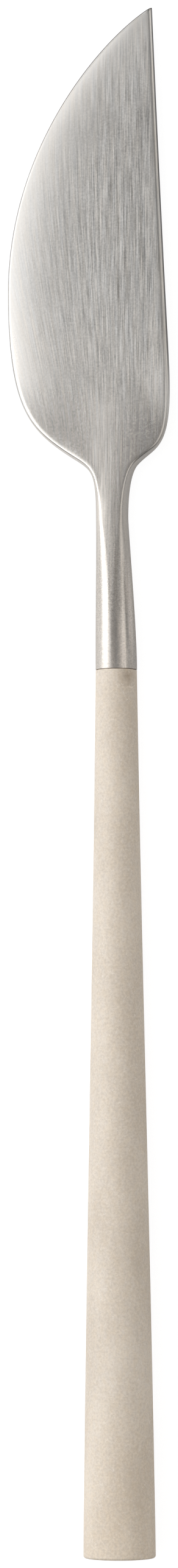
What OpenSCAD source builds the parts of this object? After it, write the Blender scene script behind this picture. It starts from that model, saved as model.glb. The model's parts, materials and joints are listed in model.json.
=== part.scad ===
// Fish knife with a slim round handle. All lengths are in millimetres.
//
// It is made of three solids: a forged steel blade with its neck and tang, a cast resin
// handle with a blind bore, and the adhesive that fills the bore around the tang.
//
// Every solid is shaped in the knife's own axes. Y runs along the middle of the handle from
// the butt to the point, X points to the straight spine, and Z rises out of the blade's face.
// The knife is then laid down as it rests: on the underside of the handle and on its belly.

/* [Handle] */
// Length of the handle, from the butt to the joint with the steel
handle_l = 119.2; // [100:0.1:140]
// Diameter of the handle at the butt
butt_d = 9.66; // [8:0.02:12]
// Diameter of the handle at the joint
joint_d = 5.58; // [5.4:0.02:7]
// Rounding of the rim of the butt
butt_round = 0.35; // [0.1:0.05:1]

/* [Neck] */
// Length of the neck, from the joint to its narrowest place
neck_l = 20.6; // [14:0.1:30]
// Width of the neck at its narrowest place
neck_w = 4.4; // [4:0.02:6]
// Thickness of the neck at its narrowest place
neck_t = 3.4; // [2.6:0.05:4.5]
// How far the narrowest place is set over to the belly's side
neck_shift = 0.51; // [0:0.005:0.8]
// Rounding of the neck's belly side at its narrowest place
neck_belly_round = 1.15; // [0.6:0.05:1.8]
// Rounding of the neck's spine side at its narrowest place
neck_spine_round = 0.85; // [0.6:0.05:1.8]
// How much the upper face of the neck is crowned at its edges
neck_crown = 0.22; // [0:0.01:0.3]
// How far the steel stands proud of the handle at the joint, on the radius
joint_proud = 0.02; // [0:0.01:0.1]

/* [Blade] */
// Length of the blade, from the narrowest place of the neck to the point
blade_l = 70.2; // [55:0.1:90]
// Reach of the curved belly from the middle of the handle
belly_out = 15.06; // [12:0.01:19]
// Reach of the straight spine from the middle of the handle
spine_out = 7.58; // [6.6:0.01:10]
// How far the point lies to the spine's side
tip_out = 5.1; // [3:0.05:6]
// Width of the blunt end of the point
tip_w = 0.6; // [0.4:0.05:1.2]
// Thickness of the blade at its middle
blade_t = 1.8; // [1.4:0.05:2.6]
// Thickness of the blade near the point
tip_t = 1; // [0.8:0.05:1.4]
// Length over which the neck fans out and sinks into the blade
fan_l = 13.5; // [12:0.5:30]

/* [Blade edges] */
// Rounding of the belly's edge along most of its length
belly_round = 0.25; // [0.15:0.05:0.6]
// Rounding of the belly's edge at the heel, next to the neck
heel_round = 0.4; // [0.2:0.05:0.9]
// Rounding of the spine's edge
spine_round = 0.5; // [0.2:0.05:0.7]
// Rounding of the point along the knife
tip_round = 0.4; // [0.2:0.05:0.8]
// What the rounding of the point leaves flat at its end
tip_flat = 0.03; // [0.01:0.01:0.1]
// Width of the camber along the belly
belly_camber_w = 9; // [5:0.5:12]
// How much thinner each face is at the belly's edge than at the middle
belly_drop = 0.5; // [0.1:0.01:0.55]
// Width of the camber along the spine
spine_camber_w = 9; // [2:0.5:11]
// How much thinner each face is at the spine's edge than at the middle
spine_drop = 0.2; // [0:0.01:0.4]
// Width of the camber around the heel on the spine's side
heel_camber_w = 6; // [3:0.5:8]
// How much thinner each face is at that heel than at the middle
heel_drop = 0.32; // [0:0.01:0.5]
// Width of the slight bevel just inside both edges
rim_w = 0.5; // [0.3:0.05:1]
// How much that bevel drops
rim_drop = 0.04; // [0:0.01:0.1]
// Width of the bevel round the heel
heel_rim_w = 0.8; // [0.5:0.05:1.6]
// How much the bevel round the heel drops
heel_rim_drop = 0.22; // [0:0.01:0.4]

/* [Tang and adhesive] */
// Diameter of the tang
tang_d = 3.4; // [2.4:0.1:3.8]
// Length of the tang inside the handle
tang_l = 88; // [50:1:94]
// How far the tang's root runs on inside the neck
tang_root = 4; // [2:0.5:8]
// Chamfer of the end of the tang
tang_chamfer = 0.6; // [0.2:0.1:1]
// Width of each gripping groove round the tang
groove_w = 1.6; // [0.8:0.1:3]
// Depth of each gripping groove
groove_depth = 0.3; // [0.1:0.05:0.5]
// Distance from one groove to the next
groove_pitch = 12; // [6:0.5:12]
// Distance from the end of the tang to the first groove
groove_first = 8; // [3:0.5:10]
// Thickness of the adhesive around the tang
bond_gap = 0.2; // [0.1:0.05:0.5]
// Depth of adhesive beyond the end of the tang
bond_end = 1.5; // [0.5:0.5:4]

/* [Hidden] */

// How far a cutting shape runs past what it cuts
overrun = 1;
// Number of gripping grooves
groove_n = 4;

head_l = neck_l + blade_l;
total_l = handle_l + head_l;
butt_r = butt_d / 2;
joint_r = joint_d / 2;
steel_joint_r = joint_r + joint_proud;
tang_r = tang_d / 2;
bore_d = tang_d + 2 * bond_gap;
bore_l = tang_l + bond_end;

// Steps round a full turn, along the handle and round the rim of the butt
turn_steps = 96;
handle_steps = 40;
rim_steps = 8;

// Rings of the head: neck, heel, face, approach to the point, and the point's rounding
neck_rings = 13;
heel_rings = 20;
face_rings = 18;
point_rings = 7;
round_rings = 4;
// Points of each ring, along one rounded edge and along one face
edge_steps = 5;
face_steps = 11;

// Growth of the handle's radius from the joint to the butt, as a smooth curve's four shares
handle_taper_shares = [0, 0.233, 0.767, 1];

// The outline of the head is two chains of cubic curves. Along the neck each point is how far
// it has gone from the joint's edge to the narrowest place's edge, and its share of neck_l.
neck_belly_shares = [[0, 0], [0, 0.554], [1, 0.553], [1, 1]];
neck_spine_shares = [[0, 0], [0, 0.292], [1, 0.967], [1, 1]];
// Past the neck each point is its share of belly_out or spine_out, and its share of blade_l
// counted from the narrowest place. The chains leave the neck straight for the first share.
belly_leave_share = 0.108;
belly_shares = [
    [0.2225, 0.0923], [0.498, 0.1349], [0.8375, 0.1874],
    [1, 0.2418], [1, 0.4506], [1, 0.7403], [0.111, 0.9443]
];
spine_leave_share = 0.039;
spine_shares = [
    [0.256, 0.0878], [0.409, 0.1041], [0.7155, 0.1367],
    [1, 0.1293], [1, 0.2481], [1, 0.3189], [0.9255, 0.3943]
];

// Where along the blade, as shares of blade_l, the forms below begin and end
taper_start_share = 0.3;
heel_edge_share = 0.12;
heel_camber_start_share = 0.16;
heel_camber_end_share = 0.28;
belly_camber_start_share = 0.14;
belly_camber_end_share = 0.32;
spine_camber_start_share = 0.28;
spine_camber_end_share = 0.5;
belly_edge_end_share = 0.42;
heel_rings_share = 0.24;
point_rings_share = 0.9;
// Where along fan_l the neck's even top has become a ridge with flanks
fan_start_share = 0.2;
// Where along fan_l the crown of the neck has gone
crown_fade_share = 0.5;
// Half width of the ridge's top and width of its flanks, as shares of half the neck's width,
// at the narrowest place and where the fan ends
ridge_top_shares = [0.5, 2];
ridge_flank_shares = [1.2, 3.4];
// The camber takes no more than these shares of the blade's width where the blade is narrow
belly_camber_share = 0.55;
spine_camber_share = 0.4;
// An edge's close points take no more than this share of a ring's width
edge_zone_share = 0.42;
// Steepness of the neck's edges, of the taper to the point, of the two cambers and of the bevel
neck_edge_power = 2.2;
taper_power = 1.3;
belly_power = 2.8;
spine_power = 2;
rim_power = 2;
// Step along the knife over which the outline's slope is measured
slope_step = 0.01;
// Halvings that find a curve's point at a given place along the knife
halvings = 24;

function mix(a, b, t) = a + (b - a) * t;
function clamp(t) = min(1, max(0, t));
function smooth(t) = clamp(t) * clamp(t) * (3 - 2 * clamp(t));
function blade_share(v) = (v - neck_l) / blade_l;
function between(v, from_share, to_share) =
    smooth((blade_share(v) - from_share) / (to_share - from_share));

// Value of a cubic curve with four control values
function cubic(p, t) =
    pow(1 - t, 3) * p[0] + 3 * pow(1 - t, 2) * t * p[1] + 3 * (1 - t) * t * t * p[2] + t * t * t * p[3];

// The four curves of one side: -1 is the belly's side and 1 the spine's
function side_curves(side, reach, neck_shares, leave_share, shares) =
    let (
        joint_x = side * steel_joint_r,
        neck_x = side * neck_w / 2 - neck_shift,
        tip_x = tip_out + side * tip_w / 2,
        neck = [for (s = neck_shares) [mix(joint_x, neck_x, s.x), s.y * neck_l]],
        chain = concat(
            [[neck_x, neck_l], [neck_x, neck_l + leave_share * blade_l]],
            [for (s = shares) [side * s.x * reach, neck_l + s.y * blade_l]],
            [[tip_x, head_l]]
        )
    )
    concat([neck], [for (k = [0:3:len(chain) - 2]) [for (i = [k:k + 3]) chain[i]]]);

belly_curves = side_curves(-1, belly_out, neck_belly_shares, belly_leave_share, belly_shares);
spine_curves = side_curves(1, spine_out, neck_spine_shares, spine_leave_share, spine_shares);

// Distance from the middle of the handle to one side's outline, at v along the head
function curve_at(curves, v, k = 0) =
    k == len(curves) - 1 || v <= curves[k][3].y ? curves[k] : curve_at(curves, v, k + 1);
function halve(ys, v, low = 0, high = 1, left = halvings) =
    left == 0 ? (low + high) / 2
    : cubic(ys, (low + high) / 2) < v ? halve(ys, v, (low + high) / 2, high, left - 1)
    : halve(ys, v, low, (low + high) / 2, left - 1);
function out_at(curves, v) =
    let (c = curve_at(curves, v))
    cubic([for (p = c) p.x], halve([for (p = c) p.y], v));

// Cosine of the angle between the outline and the knife's length
function lean_at(curves, v) =
    let (
        a = max(0, v - slope_step),
        b = min(head_l, v + slope_step),
        slope = (out_at(curves, b) - out_at(curves, a)) / (b - a)
    )
    1 / sqrt(1 + slope * slope);

// Half thickness at the blade's middle, and at the top of the neck and its fan
function core_half(v) =
    let (t = max(0, (blade_share(v) - taper_start_share) / (1 - taper_start_share)))
    mix(blade_t / 2, tip_t / 2, pow(t, taper_power));
function spine_half(v) =
    v < neck_l ? mix(steel_joint_r, neck_t / 2, smooth(v / neck_l))
    : mix(neck_t / 2, core_half(v), smooth((v - neck_l) / fan_l));

// Rounding of each edge at v along the head
function neck_edge(v, e) = mix(steel_joint_r, e, pow(min(1, v / neck_l), neck_edge_power));
function belly_edge(v) =
    mix(
        mix(neck_edge(v, neck_belly_round), heel_round, between(v, 0, heel_edge_share)),
        belly_round,
        between(v, heel_edge_share, belly_edge_end_share)
    );
function spine_edge(v) =
    mix(neck_edge(v, neck_spine_round), spine_round, between(v, 0, heel_edge_share));

// How much of the heel's broad bevel there is at v, and the bevel's width and drop
function heel_rim(v) = 1 - between(v, heel_camber_start_share, belly_edge_end_share);
function rim_width(v) = mix(rim_w, heel_rim_w, heel_rim(v));
function rim_depth(v) = mix(rim_drop, heel_rim_drop, heel_rim(v)) * between(v, 0, heel_edge_share);

// Share of the height that is left at distance d inside an edge with rounding e
function rounded(d, e) = d >= e ? 1 : sqrt(max(0, 1 - pow(1 - d / e, 2)));
// What a camber of width w takes away at distance d inside an edge
function camber(d, w, drop, power) = d >= w ? 0 : drop * pow(1 - d / w, power);

// Half thickness of the head at x across, in the ring at v with outline l to r
function half_t(x, v, l, r, lean_l, lean_r) =
    let (
        dl = (x - l) * lean_l,
        dr = (r - x) * lean_r,
        core = core_half(v),
        thin = 2 * core / blade_t,
        heel = between(v, heel_camber_start_share, heel_camber_end_share),
        fan = clamp((v - neck_l) / fan_l),
        narrow_l = min(1, (r - l) * lean_l * belly_camber_share / belly_camber_w),
        spine_w = mix(heel_camber_w, spine_camber_w, heel),
        narrow_r = min(1, (r - l) * lean_r * spine_camber_share / spine_w),
        drop_l = belly_drop * between(v, belly_camber_start_share, belly_camber_end_share),
        drop_r = spine_drop * between(v, spine_camber_start_share, spine_camber_end_share),
        cambers = camber(dl, belly_camber_w * narrow_l, drop_l * narrow_l, belly_power)
            + camber(dr, spine_w * narrow_r, mix(heel_drop, drop_r, heel) * narrow_r * thin, spine_power),
        rims = camber(dl, rim_width(v), rim_depth(v), rim_power)
            + camber(dr, rim_width(v), rim_depth(v), rim_power),
        off = abs(x - (l + r) / 2) / (neck_w / 2),
        flank = 1 - smooth((off - mix(ridge_top_shares[0], ridge_top_shares[1], fan))
            / mix(ridge_flank_shares[0], ridge_flank_shares[1], fan)),
        ridge = mix(1, flank, smooth((v - neck_l) / (fan_l * fan_start_share))),
        crown_left = smooth(v / neck_l) * (1 - smooth(fan / crown_fade_share)),
        crown = neck_crown * crown_left * off * off * ridge,
        cambered = 1 - ridge * (1 - smooth(fan))
    )
    (mix(core, spine_half(v), ridge) - cambers * cambered - crown - rims)
        * rounded(dl, belly_edge(v)) * rounded(dr, spine_edge(v))
        * rounded(head_l - v + tip_flat, tip_round);

// Places across a ring: close together over each edge and its bevel, even between them
function across(v, l, r, lean_l, lean_r) =
    let (
        zone_l = min(max(belly_edge(v), rim_width(v)) / lean_l, edge_zone_share * (r - l)),
        zone_r = min(max(spine_edge(v), rim_width(v)) / lean_r, edge_zone_share * (r - l))
    )
    concat(
        [for (i = [0:edge_steps - 1]) l + zone_l * (1 - cos(90 * i / edge_steps))],
        [for (i = [0:face_steps]) mix(l + zone_l, r - zone_r, i / face_steps)],
        [for (i = [edge_steps - 1:-1:0]) r - zone_r * (1 - cos(90 * i / edge_steps))]
    );

// One closed ring of points: over the upper face and back along the lower one
function head_ring(v) =
    let (
        l = out_at(belly_curves, v),
        r = out_at(spine_curves, v),
        lean_l = lean_at(belly_curves, v),
        lean_r = lean_at(spine_curves, v),
        xs = across(v, l, r, lean_l, lean_r),
        upper = [for (x = xs) [x, handle_l + v, half_t(x, v, l, r, lean_l, lean_r)]],
        last = len(upper) - 1
    )
    concat(
        [for (i = [0:last]) i == 0 || i == last ? [upper[i].x, upper[i].y, 0] : upper[i]],
        [for (i = [last - 1:-1:1]) [upper[i].x, upper[i].y, -upper[i].z]]
    );

function steps(from, to, count) = [for (i = [0:count - 1]) mix(from, to, i / count)];
head_stations = concat(
    steps(0, neck_l, neck_rings),
    steps(neck_l, neck_l + heel_rings_share * blade_l, heel_rings),
    steps(neck_l + heel_rings_share * blade_l, neck_l + point_rings_share * blade_l, face_rings),
    steps(neck_l + point_rings_share * blade_l, head_l - tip_round, point_rings),
    [for (i = [0:round_rings]) head_l - tip_round * (1 - sin(90 * i / round_rings))]
);

// Skin over a row of rings with equal numbers of points, closed at both ends
module loft(rings) {
    n = len(rings[0]);
    last = len(rings) - 1;
    polyhedron(
        points = [for (ring = rings) each ring],
        faces = concat(
            [[for (i = [0:n - 1]) i]],
            [for (k = [0:last - 1]) for (i = [0:n - 1]) let (j = (i + 1) % n)
                each [
                    [k * n + i, (k + 1) * n + i, (k + 1) * n + j],
                    [k * n + i, (k + 1) * n + j, k * n + j]
                ]],
            [[for (i = [n - 1:-1:0]) last * n + i]]
        )
    );
}

// Turned shapes stand on Z and are laid along the knife's length from y
module along(y) {
    translate([0, y, 0]) rotate([-90, 0, 0]) children();
}

// Profile of the tang from its end to its root, with square gripping grooves
function tang_profile() =
    concat(
        [[0, 0], [tang_r - tang_chamfer, 0], [tang_r, tang_chamfer]],
        [for (k = [0:groove_n - 1]) let (y = groove_first + k * groove_pitch)
            each [
                [tang_r, y], [tang_r - groove_depth, y],
                [tang_r - groove_depth, y + groove_w], [tang_r, y + groove_w]
            ]],
        [[tang_r, tang_l + tang_root], [0, tang_l + tang_root]]
    );

module tang() {
    along(handle_l - tang_l) rotate_extrude($fn = turn_steps) polygon(tang_profile());
}

// The space in the handle that the tang and the adhesive share
module bore(extra) {
    along(handle_l - bore_l) cylinder(h = bore_l + extra, d = bore_d, $fn = turn_steps);
}

function handle_r(y) =
    mix(joint_r, butt_r, cubic(handle_taper_shares, (handle_l - y) / (handle_l - butt_round)));

function handle_profile() =
    concat(
        [[0, 0]],
        [for (i = [0:rim_steps - 1]) let (a = 90 * i / rim_steps)
            [butt_r - butt_round + butt_round * sin(a), butt_round - butt_round * cos(a)]],
        [for (i = [0:handle_steps]) let (y = mix(butt_round, handle_l, i / handle_steps)) [handle_r(y), y]],
        [[0, handle_l]]
    );

// How the knife rests. The undersides of the handle and of the neck near the joint touch, so
// the knife is pitched until both are level. It then rolls until its belly touches too.
// Where the handle touches, as a share of its length counted from the joint
handle_touch_share = 0.772;
// Where the neck touches, as a share of neck_l
neck_touch_share = 0.058;
// Where the belly touches, as shares of belly_out and of blade_l
belly_touch_shares = [0.853, 0.5155];

handle_touch_y = handle_l * (1 - handle_touch_share);
neck_touch_v = neck_touch_share * neck_l;
neck_touch_r = spine_half(neck_touch_v);
touch_v = neck_l + belly_touch_shares[1] * blade_l;
touch_x = -belly_touch_shares[0] * belly_out;
touch_half = half_t(
    touch_x, touch_v,
    out_at(belly_curves, touch_v), out_at(spine_curves, touch_v),
    lean_at(belly_curves, touch_v), lean_at(spine_curves, touch_v)
);
rest_pitch = atan((handle_r(handle_touch_y) - neck_touch_r) / (handle_l + neck_touch_v - handle_touch_y));
touch_drop = neck_touch_r - tan(rest_pitch) * (touch_v - neck_touch_v);
rest_roll = asin(touch_drop / norm([touch_x, touch_half])) - atan(-touch_half / touch_x);
rest_z = neck_touch_r * cos(rest_pitch) + (handle_l + neck_touch_v) * sin(rest_pitch);
// The middle of the resting knife's box lies over the origin
middle_x = (spine_out - belly_out) / 2 * cos(rest_roll);
tip_rise = tip_out * sin(rest_roll);
middle_y = (total_l * cos(rest_pitch) + (tip_rise - butt_r + butt_round) * sin(rest_pitch)) / 2;

module lie_down() {
    translate([-middle_x, -middle_y, rest_z])
        rotate([-rest_pitch, 0, 0])
            rotate([0, -rest_roll, 0])
                children();
}

// Forged steel: blade and neck in one piece with the tang
module blade() {
    color([0.72, 0.71, 0.69])
        lie_down()
            union() {
                loft([for (v = head_stations) head_ring(v)]);
                tang();
            }
}

// Cast resin handle, round all along and flat at the butt
module handle() {
    color([0.82, 0.77, 0.70])
        lie_down()
            difference() {
                along(0) rotate_extrude($fn = turn_steps) polygon(handle_profile());
                bore(overrun);
            }
}

// Adhesive that fills the bore round the tang and its grooves
module tang_adhesive() {
    color([0.85, 0.80, 0.62])
        lie_down()
            difference() {
                bore(0);
                tang();
            }
}

blade();
handle();
tang_adhesive();
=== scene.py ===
"""Looks of the fish knife: brushed steel head, matte resin handle, studio light and camera.

Shapes are worked out in the knife's own axes in millimetres, as in the part's source: Y runs along
the middle of the handle from the butt to the point, X points to the straight spine, and Z rises out
of the blade's face. lie_down() brings them to the row's frame, in metres.
"""

import json
import math
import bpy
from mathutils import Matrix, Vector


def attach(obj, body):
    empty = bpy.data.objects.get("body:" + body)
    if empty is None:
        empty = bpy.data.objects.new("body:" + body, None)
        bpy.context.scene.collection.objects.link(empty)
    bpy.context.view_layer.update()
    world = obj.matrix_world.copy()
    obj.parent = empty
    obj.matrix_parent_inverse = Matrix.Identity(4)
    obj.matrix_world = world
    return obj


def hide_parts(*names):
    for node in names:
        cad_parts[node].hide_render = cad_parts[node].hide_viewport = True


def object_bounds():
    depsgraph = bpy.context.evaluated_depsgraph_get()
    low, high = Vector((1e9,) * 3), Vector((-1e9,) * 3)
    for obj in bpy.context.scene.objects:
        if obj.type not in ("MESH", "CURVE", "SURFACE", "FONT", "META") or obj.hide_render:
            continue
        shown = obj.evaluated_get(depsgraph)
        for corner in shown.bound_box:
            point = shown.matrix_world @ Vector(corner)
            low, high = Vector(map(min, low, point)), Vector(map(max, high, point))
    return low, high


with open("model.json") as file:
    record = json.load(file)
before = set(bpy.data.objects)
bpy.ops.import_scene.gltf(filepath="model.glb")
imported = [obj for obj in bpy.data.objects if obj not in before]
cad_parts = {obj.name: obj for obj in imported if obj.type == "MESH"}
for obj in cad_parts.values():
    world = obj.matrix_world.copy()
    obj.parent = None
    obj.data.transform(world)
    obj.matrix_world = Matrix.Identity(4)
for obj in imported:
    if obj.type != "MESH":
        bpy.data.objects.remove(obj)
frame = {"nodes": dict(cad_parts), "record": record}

from types import SimpleNamespace

import bpy
import numpy as np
from mathutils import Matrix, Vector

CAD_LOW, CAD_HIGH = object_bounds()
MM = 0.001

# Handle
HANDLE_L = 119.2
BUTT_R = 9.66 / 2
JOINT_R = 5.58 / 2
BUTT_ROUND = 0.35
HANDLE_TAPER_SHARES = (0, 0.233, 0.767, 1)
BORE_R = 1.9
BORE_L = 89.5
# The hairline between resin and steel: the resin's end is broken by a small chamfer
JOINT_CHAMFER = 0.18
JOINT_CHAMFER_L = 0.14

# Neck
NECK_L = 20.6
NECK_W = 4.4
NECK_T = 3.4
NECK_SHIFT = 0.51
NECK_BELLY_ROUND = 1.15
NECK_SPINE_ROUND = 0.85
NECK_CROWN = 0.22
JOINT_PROUD = 0.02

# Blade. The point is finer than in the part's source.
BLADE_L = 70.2
BELLY_OUT = 15.06
SPINE_OUT = 7.58
TIP_OUT = 5.22
TIP_W = 0.26
TIP_BACK = 0.15
BLADE_T = 1.8
TIP_T = 1.0
FAN_L = 13.5

# Blade edges
BELLY_ROUND = 0.25
HEEL_ROUND = 0.4
SPINE_ROUND = 0.5
TIP_ROUND = 0.4
TIP_FLAT = 0.03
BELLY_CAMBER_W = 9.0
BELLY_DROP = 0.5
SPINE_CAMBER_W = 9.0
SPINE_DROP = 0.2
HEEL_CAMBER_W = 6.0
HEEL_DROP = 0.32
RIM_W = 0.5
RIM_DROP = 0.04
HEEL_RIM_W = 0.8
HEEL_RIM_DROP = 0.22

# Tang
TANG_R = 1.7
TANG_L = 88.0
TANG_CHAMFER = 0.6
GROOVE_W = 1.6
GROOVE_DEPTH = 0.3
GROOVE_PITCH = 12.0
GROOVE_FIRST = 8.0
GROOVE_N = 4

HEAD_L = NECK_L + BLADE_L - TIP_BACK
STEEL_JOINT_R = JOINT_R + JOINT_PROUD

# Outline of the head, as in the part's source
NECK_BELLY_SHARES = ((0, 0), (0, 0.554), (1, 0.553), (1, 1))
NECK_SPINE_SHARES = ((0, 0), (0, 0.292), (1, 0.967), (1, 1))
BELLY_LEAVE_SHARE = 0.108
BELLY_SHARES = (
    (0.2225, 0.0923), (0.498, 0.1349), (0.8375, 0.1874),
    (1, 0.2418), (1, 0.4506), (1, 0.7403), (0.111, 0.9443),
)
SPINE_LEAVE_SHARE = 0.039
SPINE_SHARES = (
    (0.256, 0.0878), (0.409, 0.1041), (0.7155, 0.1367),
    (1, 0.1293), (1, 0.2481), (1, 0.3189), (0.9255, 0.3943),
)

# Where along the blade its forms begin and end, as shares of its length
TAPER_START_SHARE = 0.3
HEEL_EDGE_SHARES = (0, 0.12)
BELLY_EDGE_SHARES = (0.12, 0.42)
HEEL_RIM_SHARES = (0.16, 0.42)
HEEL_CAMBER_SHARES = (0.16, 0.28)
BELLY_CAMBER_SHARES = (0.14, 0.32)
SPINE_CAMBER_SHARES = (0.28, 0.5)
# Where along the fan the neck's even top has become a ridge, and where its crown has gone
FAN_START_SHARE = 0.2
CROWN_FADE_SHARE = 0.5
# The ridge's top and its flanks at both ends of the fan, as shares of half the neck's width
RIDGE_TOP_SHARES = (0.5, 2.0)
RIDGE_FLANK_SHARES = (1.2, 3.4)
# The cambers take no more than these shares of the blade's width where it is narrow
BELLY_CAMBER_LIMIT = 0.55
SPINE_CAMBER_LIMIT = 0.4
# How sharply the cambers stop growing where the blade is wide enough for them
LIMIT_SHARPNESS = 10.0
# An edge's close points take no more than this share of a ring's width
EDGE_ZONE_SHARE = 0.42
# Steepness of the neck's edges, of the taper to the point, of the two cambers and of the bevel
NECK_EDGE_POWER = 2.2
TAPER_POWER = 1.3
BELLY_POWER = 2.8
SPINE_POWER = 2
RIM_POWER = 2

# Halvings that find a curve's point, and the step over which an outline's slope is measured
HALVINGS = 30
SLOPE_STEP = 0.01
# Points of a ring of the head, across one edge and across the face
EDGE_STEPS = 12
FACE_STEPS = 96
# Rings of the neck, the heel, the face and the point, and where the heel's rings end
NECK_RINGS = 70
HEEL_RINGS = 130
FACE_RINGS = 150
POINT_RINGS = 9
HEEL_RINGS_SHARE = 0.3
# Points round the handle, rings along it and over the rounding of its butt
TURN_STEPS = 192
HANDLE_RINGS = 160
BUTT_RINGS = 10
# A ring this small closes an end on the axis
AXIS_R = 0.001
# Edges that turn by more degrees than this are sharp
SHARP_ANGLE = 40

# The brushing lines are laid out from the knife's middle, but at least this far from the belly's edge
FACE_MARGIN = 1.5
# How far the brushing lines draw together towards the neck, and over what length
BRUSH_PINCH = 0.5
BRUSH_FAN_L = 52.0

# How the knife rests: the butt's centre and the pitch come from the frame's mount
REST_ROLL = math.radians(5.658)
BUTT_MOUNT = frame["record"]["mounts"][0]

# Camera: places in millimetres, the roll in degrees, the photo's height and the lens in pixels
CAMERA_AT = (96.77, -37.17, 640.0)
CAMERA_LOOKS_AT = (-0.228, -1.166, 2.0)
CAMERA_ROLL = -0.3411
SENSOR_W = 36.0
FOCAL_PX = 7832.1
PHOTO_H = 2576
CLIP_START = 0.01
CLIP_END = 100


def smooth(t):
    """Smooth step from 0 to 1."""
    t = np.clip(t, 0, 1)
    return t * t * (3 - 2 * t)


def mix(a, b, t):
    return a + (b - a) * t


def cubic(p, t):
    s = 1 - t
    return s**3 * p[0] + 3 * s * s * t * p[1] + 3 * s * t * t * p[2] + t**3 * p[3]


def below_one(a):
    """The smaller of a and 1, with a soft turn between the two."""
    k = LIMIT_SHARPNESS
    return -math.log(math.exp(-a * k) + math.exp(-k)) / k


def blade_share(v):
    return (v - NECK_L) / BLADE_L


def between(v, low, high):
    return smooth((blade_share(v) - low) / (high - low))


def side_curves(side, reach, neck_shares, leave_share, shares):
    """The four cubic curves of one side's outline: -1 is the belly's side and 1 the spine's."""
    joint_x = side * STEEL_JOINT_R
    neck_x = side * NECK_W / 2 - NECK_SHIFT
    tip_x = TIP_OUT + side * TIP_W / 2
    neck = [(mix(joint_x, neck_x, a), b * NECK_L) for a, b in neck_shares]
    chain = [(neck_x, NECK_L), (neck_x, NECK_L + leave_share * BLADE_L)]
    chain += [(side * a * reach, NECK_L + b * BLADE_L) for a, b in shares]
    chain += [(tip_x, HEAD_L)]
    return [np.array(neck)] + [np.array(chain[k:k + 4]) for k in range(0, len(chain) - 1, 3)]


def out_at(curves, v):
    """Distance from the middle of the handle to the outline at v along the head."""
    curve = next((c for c in curves if v <= c[3][1]), curves[-1])
    low, high = 0.0, 1.0
    for _ in range(HALVINGS):
        middle = (low + high) / 2
        if cubic(curve[:, 1], middle) < v:
            low = middle
        else:
            high = middle
    return cubic(curve[:, 0], (low + high) / 2)


def lean_at(curves, v):
    """Cosine of the angle between the outline and the knife's length."""
    a = max(0.0, v - SLOPE_STEP)
    b = min(HEAD_L, v + SLOPE_STEP)
    return 1 / math.hypot(1, (out_at(curves, b) - out_at(curves, a)) / (b - a))


BELLY = side_curves(-1, BELLY_OUT, NECK_BELLY_SHARES, BELLY_LEAVE_SHARE, BELLY_SHARES)
SPINE = side_curves(1, SPINE_OUT, NECK_SPINE_SHARES, SPINE_LEAVE_SHARE, SPINE_SHARES)


def outline_at(v):
    """Both sides of the outline at v, the belly's on the left, and how far each leans."""
    return SimpleNamespace(
        v=v,
        left=out_at(BELLY, v),
        right=out_at(SPINE, v),
        lean_left=lean_at(BELLY, v),
        lean_right=lean_at(SPINE, v),
    )


def edge_distances(x, ring):
    """How far each x of the ring is from the belly's outline and from the spine's."""
    return (x - ring.left) * ring.lean_left, (ring.right - x) * ring.lean_right


def rounded(d, e):
    """Share of the height left at distance d inside an edge with rounding e."""
    return np.sqrt(np.clip(1 - np.clip(1 - d / e, 0, 1) ** 2, 0, 1))


def camber(d, width, drop, power):
    """What a camber takes away at distance d inside an edge."""
    return drop * np.clip(1 - d / width, 0, 1) ** power


def edges_at(v):
    """Rounding of the belly's and the spine's edge."""
    grown = min(1, v / NECK_L) ** NECK_EDGE_POWER
    heel = between(v, *HEEL_EDGE_SHARES)
    belly = mix(mix(STEEL_JOINT_R, NECK_BELLY_ROUND, grown), HEEL_ROUND, heel)
    spine = mix(mix(STEEL_JOINT_R, NECK_SPINE_ROUND, grown), SPINE_ROUND, heel)
    return mix(belly, BELLY_ROUND, between(v, *BELLY_EDGE_SHARES)), spine


def rim_at(v):
    """Width and depth of the bevel inside both edges: broad round the heel and slight elsewhere."""
    heel = 1 - between(v, *HEEL_RIM_SHARES)
    grown = between(v, *HEEL_EDGE_SHARES)
    return mix(RIM_W, HEEL_RIM_W, heel), mix(RIM_DROP, HEEL_RIM_DROP, heel) * grown


def core_at(v):
    """Half thickness at the blade's middle."""
    t = max(0.0, (blade_share(v) - TAPER_START_SHARE) / (1 - TAPER_START_SHARE))
    return mix(BLADE_T / 2, TIP_T / 2, t ** TAPER_POWER)


def ridge_at(v):
    """Half thickness at the top of the neck and of its fan."""
    if v < NECK_L:
        return mix(STEEL_JOINT_R, NECK_T / 2, smooth(v / NECK_L))
    return mix(NECK_T / 2, core_at(v), smooth((v - NECK_L) / FAN_L))


def cambers_at(ring, from_left, from_right):
    """What the cambers along the belly and along the spine take away."""
    heel = between(ring.v, *HEEL_CAMBER_SHARES)
    width = ring.right - ring.left
    spine_w = mix(HEEL_CAMBER_W, SPINE_CAMBER_W, heel)
    narrow_left = below_one(width * ring.lean_left * BELLY_CAMBER_LIMIT / BELLY_CAMBER_W)
    narrow_right = below_one(width * ring.lean_right * SPINE_CAMBER_LIMIT / spine_w)
    belly_drop = BELLY_DROP * between(ring.v, *BELLY_CAMBER_SHARES) * narrow_left
    spine_drop = mix(HEEL_DROP, SPINE_DROP * between(ring.v, *SPINE_CAMBER_SHARES), heel)
    thin = 2 * core_at(ring.v) / BLADE_T
    left = camber(from_left, BELLY_CAMBER_W * narrow_left, belly_drop, BELLY_POWER)
    right = camber(from_right, spine_w * narrow_right, spine_drop * narrow_right * thin, SPINE_POWER)
    return left + right


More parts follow.
